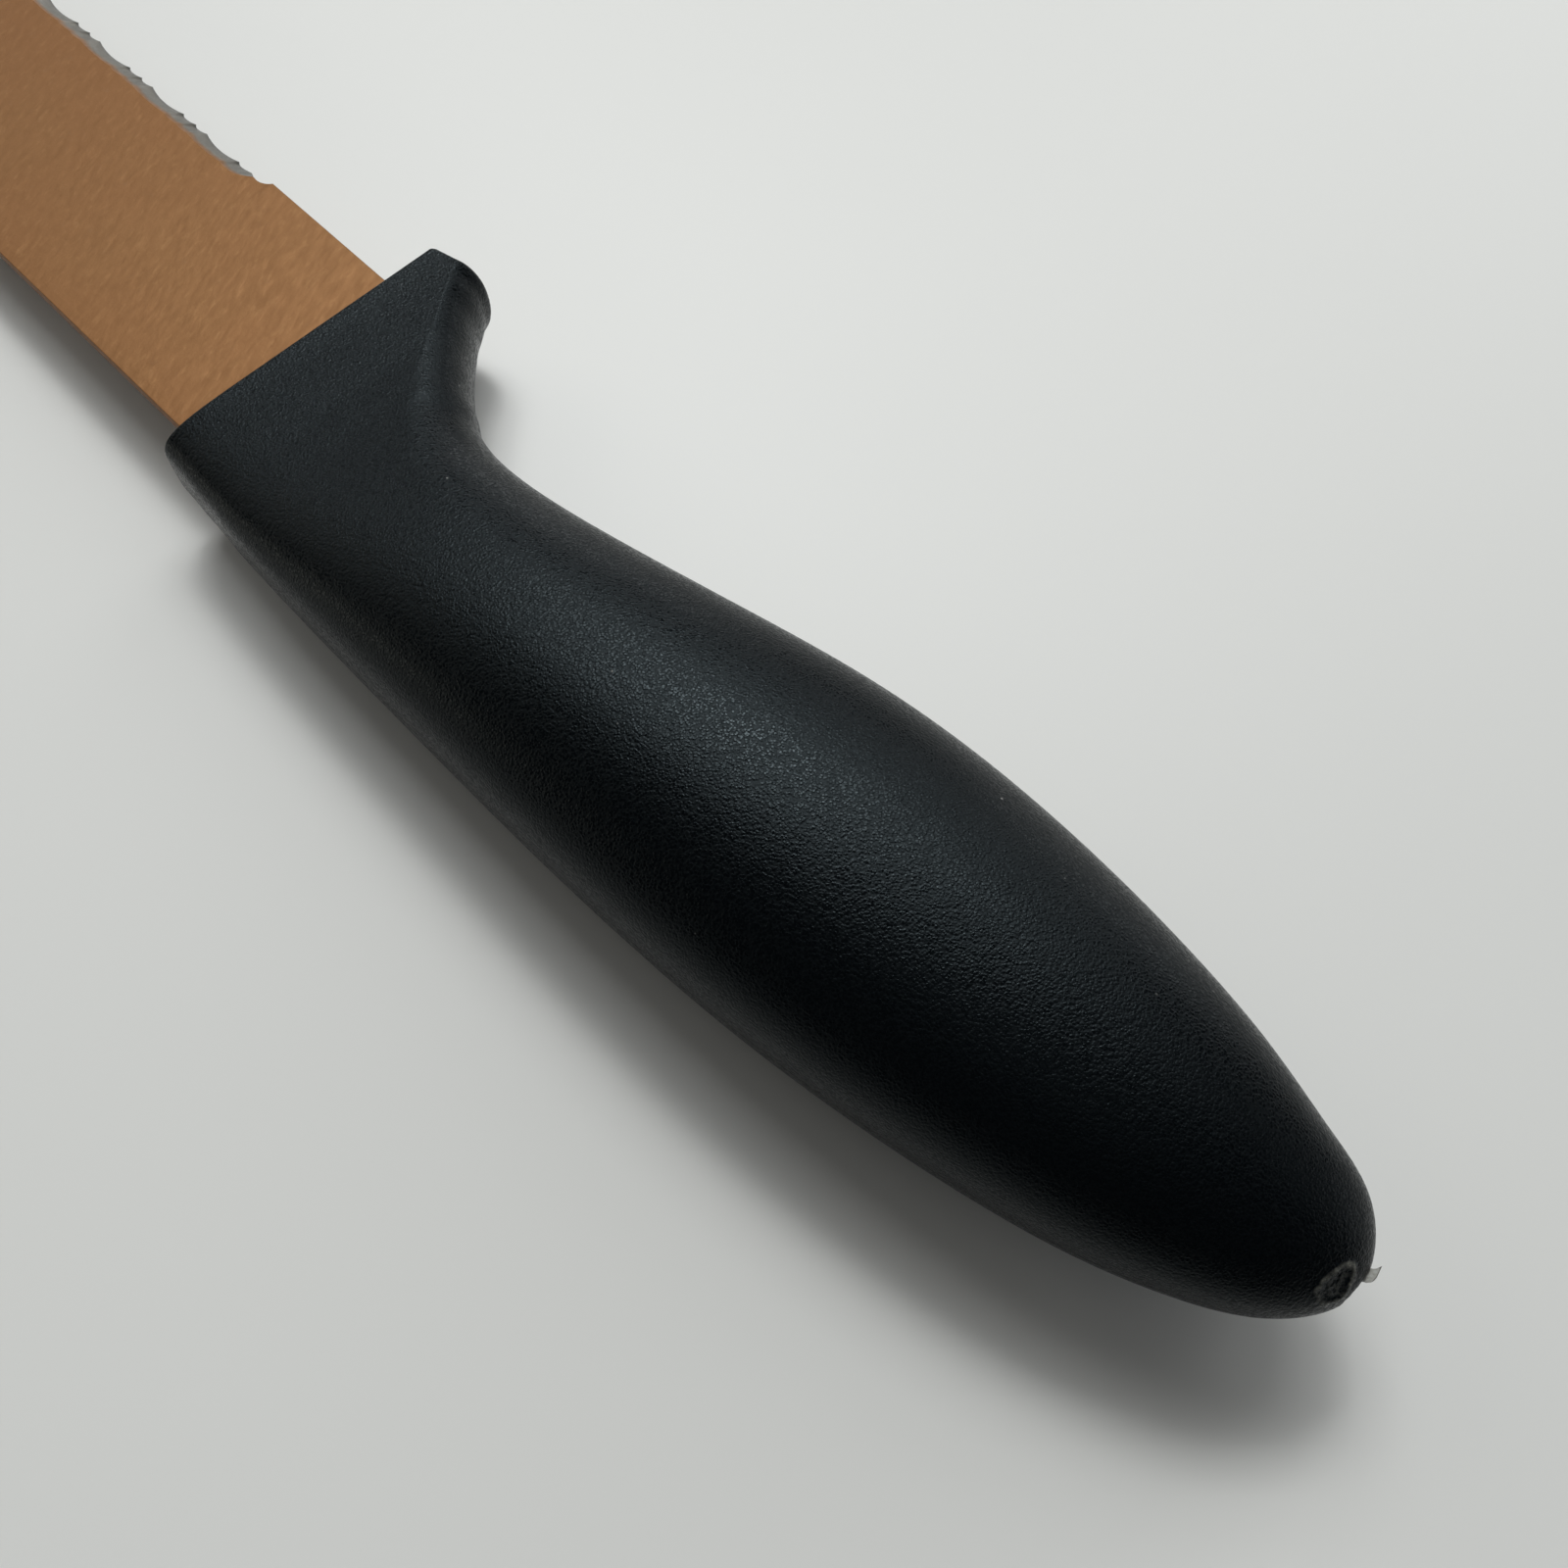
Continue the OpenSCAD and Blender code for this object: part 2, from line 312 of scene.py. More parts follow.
H_points = [np.array([[GATE_X - 0.04, P[0][1], 0.0]]), R.reshape(-1, 3)]
quads = []
idx = lambda i, j: 1 + i * SIDES + (j % SIDES)
for i in range(NR - 1):
    for j in range(SIDES):
        quads.append((idx(i, j), idx(i + 1, j), idx(i + 1, j + 1), idx(i, j + 1)))
tris = [(0, idx(0, j), idx(0, j + 1)) for j in range(SIDES)]

# the front face, with the slot that the blade comes out of, and the cavity
SLOT_W, SLOT_T = 13.04, 0.79
rim = R[-1]
ymax, ymin = rim[:, 1].max(), rim[:, 1].min()


def slot_loop(x, y0, y1, t=SLOT_T):
    """A rectangle of SIDES points that match the front rim's, one for one."""
    half = SIDES // 2
    y = rim[:half + 1, 1]
    f = 0.85 * (ymax - y) / (ymax - ymin) + 0.15 * np.arange(half + 1) / half
    f = np.clip((f - f[2]) / (f[-3] - f[2]), 0, 1)
    z = np.full(half + 1, t)
    z[[0, -1]], z[[1, -2]] = 0.0, t / 2
    top = np.column_stack([np.full(half + 1, x), y1 + (y0 - y1) * f, z])
    return np.vstack([top, top[1:-1][::-1] * np.array([1, 1, -1])])


loops = [slot_loop(FRONT_X, -SLOT_W, SLOT_W), slot_loop(-4.02, -SLOT_W, SLOT_W),
         slot_loop(-4.02, -1.02, 12.02, 0.77), slot_loop(-92.0, -1.02, 12.02, 0.77)]
base = NR
for L in loops:
    H_points.append(L)
for i in range(NR - 1, NR + len(loops) - 1):
    for j in range(SIDES):
        quads.append((idx(i, j), idx(i + 1, j), idx(i + 1, j + 1), idx(i, j + 1)))
last = NR + len(loops) - 1
fans = [[idx(last, SIDES - 1 - j) for j in range(SIDES)][::-1]]
handle_points = np.vstack(H_points)

handle = build("handle_moulding", handle_points, quads, tris, fans)
mark = handle.data.attributes.new("pale_and_shade", "FLOAT", "POINT")
mark.data.foreach_set("value", np.concatenate([[0.2], pale_and_shade.ravel(), np.zeros(SIDES * len(loops))]))

# the thin sliver that hangs on where the gate was torn off
leaf = [(-2.95, -0.12), (-3.1, 0.12), (-3.25, 0.38), (-3.45, 0.58), (-3.7, 0.66), (-4.0, 0.66), (-4.3, 0.6), (-4.6, 0.53),
        (-4.85, 0.47), (-5.0, 0.44), (-4.8, 0.36), (-4.55, 0.24), (-4.4, 0.1), (-4.25, -0.12)]
nl = len(leaf)
mid_y, mid_out = np.mean(leaf, 0)
sliver, sliver_pale_and_shade = [], []
for side in (1, -1):
    for shrink in (1.0, 0.72):
        for y, out_by in leaf:
            y, out_by = mid_y + (y - mid_y) * shrink, mid_out + (out_by - mid_out) * shrink
            bend = 0.9 + 0.35 * max(0.0, out_by) ** 2 - 0.1 * (y + 4)
            thick = 0.055 * (1 - 0.6 * max(0.0, out_by))
            sliver.append((GATE_X - out_by, y, bend + side * thick))
            # at the tip the outer rim gets a lower value, so it comes out darker: painted shade of the curled rim;
            # the rest is pale torn plastic
            sliver_pale_and_shade.append(1.0 if shrink < 1 else 0.55 if out_by > 0.42 and y < -3.6 else 0.9)
sliver_q = []
for k in range(nl):
    n = (k + 1) % nl
    sliver_q += [(k, n, nl + n, nl + k), (2 * nl + k, 3 * nl + k, 3 * nl + n, 2 * nl + n), (k, 2 * nl + k, 2 * nl + n, n)]
sliver_ob = build("sliver", sliver, sliver_q,
                  fans=[[nl + k for k in range(nl)], [3 * nl + k for k in range(nl)][::-1]])
for ob in (handle, sliver_ob):
    bm = bmesh.new()
    bm.from_mesh(ob.data)
    if ob is sliver_ob:
        layer = bm.verts.layers.float.new("pale_and_shade")
        bm.verts.ensure_lookup_table()
        for v, value in zip(bm.verts, sliver_pale_and_shade):
            v[layer] = value
        bmesh.ops.triangulate(bm, faces=[f for f in bm.faces if len(f.verts) > 4])
    bmesh.ops.recalc_face_normals(bm, faces=bm.faces)
    bm.to_mesh(ob.data)
    bm.free()
bm = bmesh.new()
bm.from_mesh(handle.data)
bm.from_mesh(sliver_ob.data)
bm.to_mesh(handle.data)
bm.free()
bpy.data.objects.remove(sliver_ob)
handle.data.set_sharp_from_angle(angle=math.radians(42))

# ---------------------------------------------------------------- the blade
BLADE_L, BLADE_W, T = 200.0, 26.0, 1.5
HEEL = 23.0
EDGE_CURVE, SPINE_CURVE, RISE = 52.0, 75.0, 11.0
GRIND_W = 2.3
GRIND_A = math.atan(T / GRIND_W)
GRIND_X = HEEL + 4.4
SPINE_Y, EDGE_Y = BLADE_W / 2, -BLADE_W / 2
TIP_Y = EDGE_Y + RISE
EDGE_R = (EDGE_CURVE ** 2 + RISE ** 2) / (2 * RISE)
DROP = SPINE_Y - TIP_Y
SPINE_R = (SPINE_CURVE ** 2 + DROP ** 2) / (2 * DROP)
EDGE_X, SPINE_X = BLADE_L - EDGE_CURVE, BLADE_L - SPINE_CURVE
EDGE_ANG = math.asin(EDGE_CURVE / EDGE_R)
ARC_L = EDGE_X + EDGE_R * EDGE_ANG
SINK = 0.03

# the scallops, each as (middle, chord, depth), from the heel to the tip
scallops = []
pitch = 5.9 + 2.0 + 2.3
s0 = GRIND_X
n_groups = int((ARC_L - GRIND_X - 1) // pitch)
for i in range(n_groups):
    s = GRIND_X + i * pitch
    scallops += [(s + 1.15, 2.3, 0.16), (s + 2.3 + 2.95, 5.9, 0.26), (s + 8.2 + 1.0, 2.0, 0.16)]
s = GRIND_X + n_groups * pitch
while s + 2.0 <= ARC_L:
    scallops.append((s + 1.0, 2.0, 0.16))
    s += 2.0
SC = np.array(scallops)


def hollow(s):
    """Height of the ground surface over the plane of the grind, square to it."""
    r = SC[:, 1] ** 2 / (8 * SC[:, 2]) + SC[:, 2] / 2
    d = np.abs(s - SC[:, 0])
    v = np.where(d < r, r - SC[:, 2] - SINK - np.sqrt(np.maximum(r * r - d * d, 0)), 99.0)
    # the short ones are steeper on their side towards the tip, like a hook
    low = SC[:, 0] + 0.2 * SC[:, 1]
    half = np.where(s > low, 0.3, 0.7) * SC[:, 1]
    hook = SC[:, 2] * (((s - low) / half) ** 2 - 1) - SINK
    return float(np.where(SC[:, 1] < 3, hook, v).min())


# the blank's outline on the edge side: the straight heel and the notch
NOTCH = np.array([(0.0, 0.0), (23.05, 0.0), (23.3, 0.33), (23.7, 0.62), (24.1, 0.82), (24.6, 0.93),
                  (25.1, 0.9), (25.8, 0.72), (26.5, 0.44), (27.1, 0.2), (27.8, 0.0), (400.0, 0.0)])


def ray(s):
    """The point of the edge curve at s, and the direction from it into the blade."""
    if s <= EDGE_X:
        return np.array([s, EDGE_Y]), np.array([0.0, 1.0])
    a = (s - EDGE_X) / EDGE_R
    return (np.array([EDGE_X + EDGE_R * math.sin(a), EDGE_Y + EDGE_R - EDGE_R * math.cos(a)]),
            np.array([-math.sin(a), math.cos(a)]))


def spine_y(x):
    return SPINE_Y if x <= SPINE_X else SPINE_Y - SPINE_R + math.sqrt(SPINE_R ** 2 - (x - SPINE_X) ** 2)


def reach(p, d):
    """Distance along the ray to the spine."""
    lo, hi = 0.0, 40.0
    for _ in range(50):
        m = (lo + hi) / 2
        q = p + d * m
        if q[1] < spine_y(q[0]):
            lo = m
        else:
            hi = m
    return lo


FACET = 0.3
ROLL_W, ROLL_D = 1.05, 0.028


def column(s):
    """One line of points round the blade, and whether it has a ground face."""
    p, d = ray(s)
    D = reach(p, d)
    x_end = p[0] + d[0] * D
    slope = 0.0 if x_end <= SPINE_X else math.asin(min(1, (x_end - SPINE_X) / SPINE_R))
    lean = math.asin(-d[0])
    k = 1.0 / math.cos(slope + lean)
    tg, cg, sg = math.tan(GRIND_A), math.cos(GRIND_A), math.sin(GRIND_A)
    v = hollow(s) if s > 20 else 99.0
    u_edge = float(np.interp(s, NOTCH[:, 0], NOTCH[:, 1]))
    u_zero = -v / sg
    v_top = v if v > 0 else 0.35 * v
    u_top = (T - v_top / cg) / tg - 0.15
    # a rounded corner where the edge is only the blank's own side
    bare = u_top > u_edge + 0.02
    pts = []
    if bare:
        u0 = max(u_edge, u_zero)
        z0 = -T / 2 + max(0.0, u0 * tg + v / cg)
        u1 = min(u_top, D * 0.98)
        wall = [(u0, -T / 2), (u0, (z0 - T / 2) / 2 if z0 > -T / 2 + 1e-6 else -T / 2), (u0, z0)]
        pts += wall
        # the cutting edge's own narrow facet, then the wide ground one
        face = min(T / 2, -T / 2 + u1 * tg + v_top / cg + 0.1)
        b = FACET * min(1.0, max(0.05, 1 - (z0 + T / 2) / 0.3)) * min(1.0, (u1 - u0) / 0.8)
        ub, zb = u0 + b, min(z0 + b, face)
        pts.append((ub, zb))
        for f in (1 / 3, 2 / 3, 1.0):
            pts.append((ub + (u1 - ub) * f, zb + (face - zb) * f))
    else:
        c = 0.16
        u0 = u_edge
        pts += [(u0 + 0.05, -T / 2), (u0, -T / 2 + 0.08), (u0, T / 2 - c)]
        for a in (22.5, 45, 67.5, 90):
            a = math.radians(a)
            pts.append((u0 + c * (1 - math.cos(a)), T / 2 - c + c * math.sin(a)))
        u1, face = u0 + c, T / 2
    room = max(0.0, D - u1)
    roll = min(ROLL_W * k, room * 0.6)
    for f in np.linspace(0, 1, 16)[1:]:
        u = u1 + (room - roll) * f
        pts.append((u, face))
    drop = ROLL_D * (roll / (ROLL_W * k))
    for f in (0.02, 0.2, 0.45, 0.7, 0.88, 0.94, 0.97, 0.99):
        u = D - roll * (1 - f)
        pts.append((u, face - drop * (f + 1.6 * max(0.0, f - 0.93) ** 2 / 0.005)))
    top = face - drop * 3.2
    low = -T / 2
    h = max(0.0, top - low)
    pts += [(D, low + h), (D, low + h * 0.55), (D, low + min(h * 0.3, 0.07))]
    pts += [(D - min(0.06, room * 0.1), low)]
    for f in np.linspace(0, 1, 14)[1:-1]:
        pts.append((D - (D - u0) * f, low))
    q = np.array(pts)
    xy = p[None, :] + q[:, :1] * d[None, :]
    return np.column_stack([xy, q[:, 1]]), bare


# where the columns stand: coarse along the heel, fine in the notch and the teeth
stops = list(np.linspace(-4.0, 22.4, 34)) + [22.8, 23.04]
stops += list(np.linspace(23.12, GRIND_X, 34))
for m, c, d in scallops:
    n = 20 if c > 3 else 11
    stops += list(np.linspace(m - c / 2, m + c / 2, n + 1))[1:]
cols, bares = [], []
for s in stops:
    q, bare = column(s)
    if ray(s)[0][0] > 199.6:
        break
    cols.append(q)
    bares.append(bare)
# the tip
tip_p = np.array([BLADE_L - 0.25, TIP_Y - 0.1 + 0.15, -T / 2 + 0.02])
cols.append(np.repeat(tip_p[None, :], len(cols[0]), 0))
bares.append(True)
C = np.array(cols)
NC, NPT = C.shape[0], C.shape[1]
bid = lambda i, j: i * NPT + (j % NPT)
bq = []
for i in range(NC - 1):
    for j in range(NPT):
        bq.append((bid(i, j), bid(i, j + 1), bid(i + 1, j + 1), bid(i + 1, j)))
fans = [[bid(0, j) for j in range(NPT)][::-1]]
blade = build("blade_steel", C.reshape(-1, 3), bq, fans=fans)
# how far each point is into the bare ground band, 1 at the cutting edge
ground = np.zeros((NC, NPT))
ground[:, :7] = np.array([1, 1, 1, 0.86, 0.57, 0.28, 0.0]) * np.array(bares, float)[:, None]
mark = blade.data.attributes.new("ground", "FLOAT", "POINT")
mark.data.foreach_set("value", ground.ravel())
bm = bmesh.new()
bm.from_mesh(blade.data)
bmesh.ops.remove_doubles(bm, verts=bm.verts, dist=2e-6)
bmesh.ops.dissolve_degenerate(bm, edges=bm.edges, dist=1e-7)
bmesh.ops.recalc_face_normals(bm, faces=bm.faces)
bm.to_mesh(blade.data)
bm.free()
blade.data.set_sharp_from_angle(angle=math.radians(24))

# the tang, with its lock holes, from the shoulders to its round end
curve = bpy.data.curves.new("tang_outline", "CURVE")
curve.dimensions = "2D"
curve.fill_mode = "BOTH"
curve.extrude = T / 2 * 0.001


def loop2d(pts):
    sp = curve.splines.new("POLY")
    sp.points.add(len(pts) - 1)
    for q, (x, y) in zip(sp.points, pts):
        q.co = (x * 0.001, y * 0.001, 0, 1)
    sp.use_cyclic_u = True


ty = 12.0 - 6.5
outline = [(-4.0, -1.0), (-4.0, 12.0)]
for k in range(25):
    a = math.pi / 2 + math.pi * k / 24
    outline.append((-92 + 6.5 + 6.5 * math.cos(a), ty + 6.5 * math.sin(a)))
loop2d(outline)
for i in range(3):
    hx = -92 + 6.5 + 4 + 24 * i
    loop2d([(hx + 3 * math.cos(2 * math.pi * k / 40), ty + 3 * math.sin(2 * math.pi * k / 40)) for k in range(40)])
tang_c = bpy.data.objects.new("tang_c", curve)
bpy.context.scene.collection.objects.link(tang_c)
bpy.context.view_layer.update()
tang_me = bpy.data.meshes.new_from_object(tang_c.evaluated_get(bpy.context.evaluated_depsgraph_get()))
co = np.array([v.co for v in tang_me.vertices]) * 1000
for v, w in zip(tang_me.vertices, to_world(co)):
    v.co = w
bpy.data.objects.remove(tang_c)
bm = bmesh.new()
bm.from_mesh(tang_me)
bmesh.ops.remove_doubles(bm, verts=bm.verts, dist=1e-6)
bmesh.ops.recalc_face_normals(bm, faces=bm.faces)
bm.to_mesh(tang_me)
bm.free()
bm = bmesh.new()
bm.from_mesh(blade.data)
bm.from_mesh(tang_me)
bm.to_mesh(blade.data)
bm.free()
bpy.data.meshes.remove(tang_me)

# ---------------------------------------------------------------- materials


class Nodes:
    """A short way to write a node tree."""

    def __init__(self, name):
        self.mat = bpy.data.materials.new(name)
        self.mat.use_nodes = True
        self.t = self.mat.node_tree
        self.t.nodes.clear()
        self.out = self.new("ShaderNodeOutputMaterial")
        self.bsdf = self.new("ShaderNodeBsdfPrincipled")
        self.link(self.bsdf.outputs["BSDF"], self.out.inputs["Surface"])
        self.coord = self.new("ShaderNodeTexCoord")

    def new(self, kind, **props):
        n = self.t.nodes.new(kind)
        for k, v in props.items():
            setattr(n, k, v)
        return n

    def link(self, a, b):
        self.t.links.new(a, b)

    def place(self, long=1.0, heading=0.0):
        """The part's own coordinates, drawn out along a heading from +X in the XY plane."""
        m = self.new("ShaderNodeMapping", vector_type="TEXTURE")
        m.inputs["Scale"].default_value = (long, 1, 1)
        m.inputs["Rotation"].default_value = (0, 0, math.radians(heading))
        self.link(self.coord.outputs["Object"], m.inputs["Vector"])
        return m.outputs["Vector"]

    def noise(self, vector, scale, detail=2.0, rough=0.5, distortion=0.0):
        n = self.new("ShaderNodeTexNoise")
        n.inputs["Scale"].default_value = scale
        n.inputs["Detail"].default_value = detail
        n.inputs["Roughness"].default_value = rough
        n.inputs["Distortion"].default_value = distortion
        self.link(vector, n.inputs["Vector"])
        return n.outputs["Fac"]

    def voronoi(self, vector, scale, feature="F1", smoothness=0.6, rand=1.0):
        n = self.new("ShaderNodeTexVoronoi", feature=feature)
        n.inputs["Scale"].default_value = scale
        n.inputs["Randomness"].default_value = rand
        if feature == "SMOOTH_F1":
            n.inputs["Smoothness"].default_value = smoothness
        self.link(vector, n.inputs["Vector"])
        return n.outputs["Distance"]

    def grains(self, vector, scale):
        """Random cells: the distance from the middle of each, and a number of its own."""
        n = self.new("ShaderNodeTexVoronoi", feature="F1")
        n.inputs["Scale"].default_value = scale
        self.link(vector, n.inputs["Vector"])
        split = self.new("ShaderNodeSeparateColor")
        self.link(n.outputs["Color"], split.inputs[0])
        return n.outputs["Distance"], split.outputs[0]

    def attribute(self, name):
        n = self.new("ShaderNodeAttribute", attribute_name=name, attribute_type="GEOMETRY")
        return n.outputs["Fac"]

    def warp(self, vector, scale, amount):
        """The vector pushed about a little, so that cells lose their regular look."""
        n = self.new("ShaderNodeTexNoise")
        n.inputs["Scale"].default_value = scale
        n.inputs["Detail"].default_value = 2
        self.link(vector, n.inputs["Vector"])
        centre = self.new("ShaderNodeVectorMath", operation="SUBTRACT")
        self.link(n.outputs["Color"], centre.inputs[0])
        centre.inputs[1].default_value = (0.5, 0.5, 0.5)
        push = self.new("ShaderNodeVectorMath", operation="MULTIPLY_ADD")
        self.link(centre.outputs[0], push.inputs[0])
        push.inputs[1].default_value = (amount * 2,) * 3
        self.link(vector, push.inputs[2])
        return push.outputs[0]

    def map(self, value, a, b, c=0.0, d=1.0, kind="LINEAR"):
        n = self.new("ShaderNodeMapRange", interpolation_type=kind)
        self.link(value, n.inputs["Value"])
        for key, v in (("From Min", a), ("From Max", b), ("To Min", c), ("To Max", d)):
            n.inputs[key].default_value = v
        return n.outputs["Result"]

    def math(self, op, a, b=None):
        n = self.new("ShaderNodeMath", operation=op)
        for i, v in enumerate((a, b)):
            if v is None:
                continue
            if isinstance(v, (int, float)):
                n.inputs[i].default_value = v
            else:
                self.link(v, n.inputs[i])
        return n.outputs[0]

    def mix(self, fac, a, b):
        n = self.new("ShaderNodeMix", data_type="RGBA")
        for key, v in (("Factor", fac), ("A", a), ("B", b)):
            sock = [s for s in n.inputs if s.name == key and (s.type == "RGBA" or key == "Factor")][0]
            if isinstance(v, (int, float)):
                sock.default_value = v
            elif isinstance(v, tuple):
                sock.default_value = (*v, 1.0)
            else:
                self.link(v, sock)
        return [s for s in n.outputs if s.type == "RGBA"][0]

    def bump(self, height, strength, distance, normal=None):
        n = self.new("ShaderNodeBump")
        n.inputs["Strength"].default_value = strength
        n.inputs["Distance"].default_value = distance
        self.link(height, n.inputs["Height"])
        if normal is not None:
            self.link(normal, n.inputs["Normal"])
        return n.outputs["Normal"]

    def set(self, **values):
        for k, v in values.items():
            sock = self.bsdf.inputs[k.replace("_", " ")]
            if isinstance(v, (int, float)):
                sock.default_value = v
            elif isinstance(v, tuple):
                sock.default_value = (*v, 1.0) if len(v) == 3 else v
            else:
                self.link(v, sock)


def plastic():
    m = Nodes("black_moulded_plastic")
    v = m.place()
    # spark-eroded grain: low flat-topped dots about 0.25 mm across, some of them
    # smoother than others, with finer noise over them
    warp = m.warp(v, 4800, 0.00008)
    away, own = m.grains(warp, 4100)
    dots = m.map(away, 0.3, 0.85, 1.0, 0.0, "SMOOTHSTEP")
    fine = m.noise(v, 9000, 2, 0.6)
    broad = m.noise(v, 2200, 2, 0.55)
    h = m.math("ADD", dots, m.math("ADD", m.math("MULTIPLY", fine, 0.35), m.math("MULTIPLY", broad, 1.5)))
    grain = m.bump(h, 1.0, 0.000021)
    # where the gate tore off, the plastic is rough and pale
    pale_and_shade = m.attribute("pale_and_shade")
    torn = m.noise(v, 3000, 4, 0.7)
    scar = m.math("MULTIPLY", pale_and_shade, m.map(pale_and_shade, 0.6, 0.9, 1.0, 0.06))
    m.link(m.bump(m.math("MULTIPLY", torn, scar), 1.0, 0.0003, grain), m.bsdf.inputs["Normal"])
    tone = m.noise(v, 60, 3, 0.55)
    col = m.mix(tone, (0.0008, 0.0012, 0.0017), (0.0015, 0.0022, 0.0028))
    col = m.mix(m.math("MULTIPLY", m.map(fine, 0.4, 0.75), 0.5), col, (0.0045, 0.0056, 0.0064))
    # a few specks of dust and scuffs
    speck = m.map(m.voronoi(v, 260, "F1"), 0.036, 0.022)
    col = m.mix(m.math("MULTIPLY", speck, m.map(m.noise(v, 45, 1, 0.5), 0.52, 0.62)), col, (0.20, 0.20, 0.19))
    # low values on the sliver's outer rim darken it: painted shade of the curled rim
    lit = m.math("MULTIPLY", m.map(pale_and_shade, 0.12, 0.8), m.map(torn, 0.25, 0.65, 0.25, 1.0))
    col = m.mix(lit, col, (0.25, 0.245, 0.21))
    col = m.mix(m.map(pale_and_shade, 0.6, 0.95), col, (0.34, 0.335, 0.305))
    # the tops of the grain are smoother than the gaps between them
    polish = m.math("MULTIPLY", dots, m.map(own, 0.15, 0.9, 0.1, 1.0))
    m.set(Base_Color=col, Roughness=m.map(polish, 0.0, 0.7, 0.42, 0.11))
    m.bsdf.inputs["Specular IOR Level"].default_value = 0.125
    m.bsdf.inputs["Specular Tint"].default_value = (0.76, 0.93, 1.0, 1.0)
    return m.mat


def coated_steel():
    m = Nodes("copper_coated_steel")
    v = m.place()
    # the coating: a warm metallic paint with a slight orange peel and short soft streaks
    streak = m.noise(m.place(long=3.0, heading=-64), 1500, 2, 0.55)
    mottle = m.noise(v, 700, 3, 0.6)
    soft = m.noise(v, 45, 2, 0.5)
    fleck = m.map(m.noise(m.place(long=2.4, heading=-68), 1700, 2, 0.5), 0.57, 0.76)
    col = m.mix(m.map(streak, 0.3, 0.7), (0.190, 0.087, 0.0268), (0.213, 0.0995, 0.0322))
    col = m.mix(m.math("MULTIPLY", m.map(soft, 0.35, 0.65), 0.4), col, (0.204, 0.0855, 0.0266))
    col = m.mix(m.math("MULTIPLY", fleck, 0.24), col, (0.34, 0.185, 0.075))
    peel = m.math("ADD", m.math("MULTIPLY", mottle, 0.8), m.math("MULTIPLY", streak, 0.6))
    # the ground band: bare steel with fine grinding lines, and a worn, feathered limit
    ground = m.attribute("ground")
    lines = m.noise(m.place(long=16.0, heading=90), 9000, 3, 0.6)
    limit = m.math("ADD", ground, m.math("MULTIPLY", m.math("SUBTRACT", mottle, 0.5), 0.35))
    bare = m.map(limit, 0.03, 0.42, kind="SMOOTHSTEP")
    steel = m.mix(lines, (0.107, 0.100, 0.086), (0.160, 0.151, 0.132))
    # the edge's wall and its narrow facet are coloured darker: painted shade along the cutting edge
    steel = m.mix(m.map(ground, 0.84, 0.98), steel, (0.10, 0.098, 0.090))
    m.set(Base_Color=m.mix(bare, col, steel))
    m.link(m.bump(m.math("MULTIPLY", lines, bare), 0.4, 0.00002,
                  m.bump(m.math("MULTIPLY", peel, m.math("SUBTRACT", 1.0, bare)), 1.0, 0.00004)), m.bsdf.inputs["Normal"])
    m.set(Metallic=m.map(bare, 0, 1, 0.42, 1.0),
          Roughness=m.math("ADD", m.map(streak, 0.3, 0.7, 0.53, 0.44), m.math("MULTIPLY", bare, -0.1)))
    m.bsdf.inputs["Specular IOR Level"].default_value = 0.25
    return m.mat


def floor_mat():
    m = Nodes("pale_table")
    v = m.place()
    tone = m.noise(v, 9, 2, 0.5)
    m.set(Base_Color=m.mix(tone, (0.745, 0.748, 0.725), (0.775, 0.778, 0.755)), Roughness=0.42)
    m.bsdf.inputs["Specular IOR Level"].default_value = 0.35
    return m.mat


handle.data.materials.append(plastic())
blade.data.materials.append(coated_steel())

for piece, node, slot in ((handle, "handle", "handle_plastic"), (blade, "blade", "coated_steel")):
    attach(piece, "root")
    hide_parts(node)

# ---------------------------------------------------------------- stage
bm = bmesh.new()
bmesh.ops.create_grid(bm, x_segments=4, y_segments=4, size=3.0)
fm = bpy.data.meshes.new("floor")
bm.to_mesh(fm)
bm.free()
floor = bpy.data.objects.new("floor", fm)
bpy.context.scene.collection.objects.link(floor)
floor.data.materials.append(floor_mat())

cam_data = bpy.data.cameras.new("camera")
cam_data.sensor_fit = "HORIZONTAL"
cam_data.sensor_width = 36.0
cam_data.lens = 36.07
cam_data.clip_start = 0.01
cam = bpy.data.objects.new("camera", cam_data)
bpy.context.scene.collection.objects.link(cam)
place = Vector(to_world([[-106.9, 39.76, 125.0]])[0])
fw = turn((0.3013, -0.3008, -0.9048)).normalized()
rt = turn((-0.7065, -0.7077, 0.0)).normalized()
up = rt.cross(fw).normalized()
cam.matrix_world = Matrix(((rt.x, up.x, -fw.x, place.x), (rt.y, up.y, -fw.y, place.y),
                           (rt.z, up.z, -fw.z, place.z), (0, 0, 0, 1)))
bpy.context.scene.camera = cam


def area(name, where, aim, size, watts, colour=(1, 1, 1)):
    d = bpy.data.lights.new(name, "AREA")
    d.shape = "RECTANGLE"
    d.size, d.size_y = size
    d.energy = watts
    d.color = colour
    o = bpy.data.objects.new(name, d)
    bpy.context.scene.collection.objects.link(o)
    o.location = where
    o.rotation_euler = (Vector(aim) - Vector(where)).to_track_quat("-Z", "Y").to_euler()
    return o


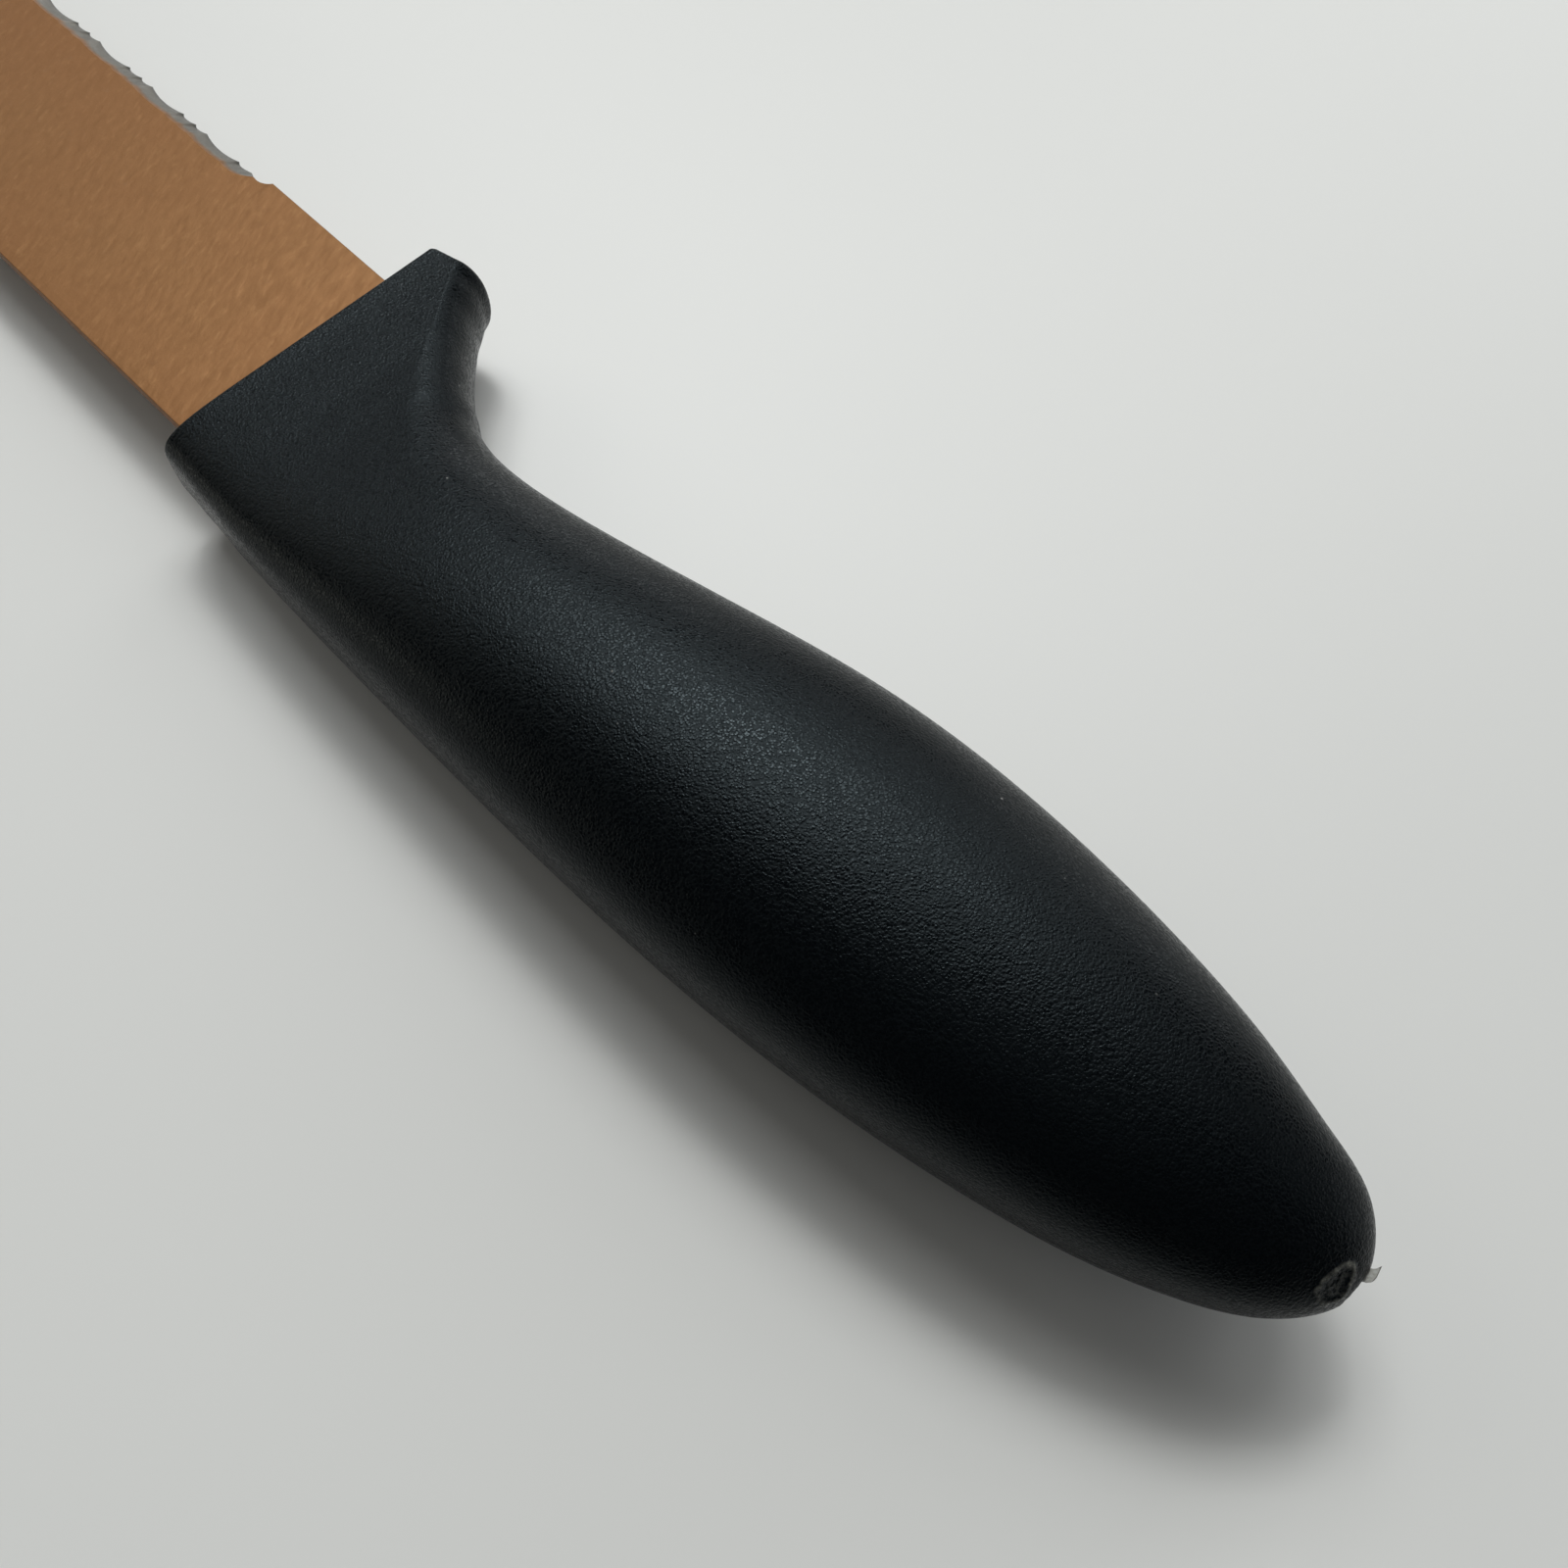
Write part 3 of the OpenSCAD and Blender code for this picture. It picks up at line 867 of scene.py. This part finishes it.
# Directions are given by azimuth from the top of the picture, clockwise, and by
# elevation over the table. The side behind the camera stays dark.
AIM = Vector((-0.10, 0.0, 0.0))
PIC_UP = Vector((0.7084, -0.7058, 0.0))
PIC_RIGHT = Vector((-0.7058, -0.7084, 0.0))


def soft_box(name, azimuth, elevation, watts, size=(0.7, 0.7), colour=(1, 1, 1), far=1.6):
    a, e = math.radians(azimuth), math.radians(elevation)
    d = (PIC_UP * math.cos(a) + PIC_RIGHT * math.sin(a)) * math.cos(e) + Vector((0, 0, math.sin(e)))
    return area(name, AIM + d * far, AIM, size, watts, colour)


WARM, COOL = (1.0, 0.93, 0.80), (0.985, 1.0, 1.0)
for name, azimuth, elevation, watts, size, colour in (
        ("overhead", -3, 57, 5.95, 0.3, COOL), ("overhead_left", -28, 57, 3.74, 0.45, COOL), ("overhead_right", 22, 57, 3.65, 0.45, COOL),
        ("window_left", -14, 47, 3.07, 0.4, COOL), ("window_right", 8, 47, 1.15, 0.4, COOL), ("overhead_side", 60, 55, 0.86, 0.7, COOL),
        ("back_left", -30, 33, 0.77, 0.7, COOL), ("back_right", 30, 33, 3.26, 0.7, COOL), ("left", -60, 33, 1.44, 0.7, WARM),
        ("low_left", -90, 10, 1.81, 0.7, WARM), ("low_back_left", -45, 10, 1.67, 0.7, COOL), ("low_back", 0, 10, 2.33, 0.7, COOL),
        ("low_back_right", 45, 10, 1.95, 0.7, COOL), ("right", 90, 10, 0.86, 0.7, COOL), ("right_high", 90, 33, 0.38, 0.7, COOL),
        ("top", 180, 80, 0.38, 0.7, COOL)):
    # the low ones are less tall, so that they stay clear of the table
    soft_box(name, azimuth, elevation, watts, (size, size if elevation > 20 else 0.4), colour)
world = bpy.data.worlds.new("studio")
world.use_nodes = True
world.node_tree.nodes["Background"].inputs["Color"].default_value = (0.86, 0.92, 1.0, 1)
world.node_tree.nodes["Background"].inputs["Strength"].default_value = 0.055
bpy.context.scene.world = world
bpy.context.scene.view_settings.view_transform = "Standard"
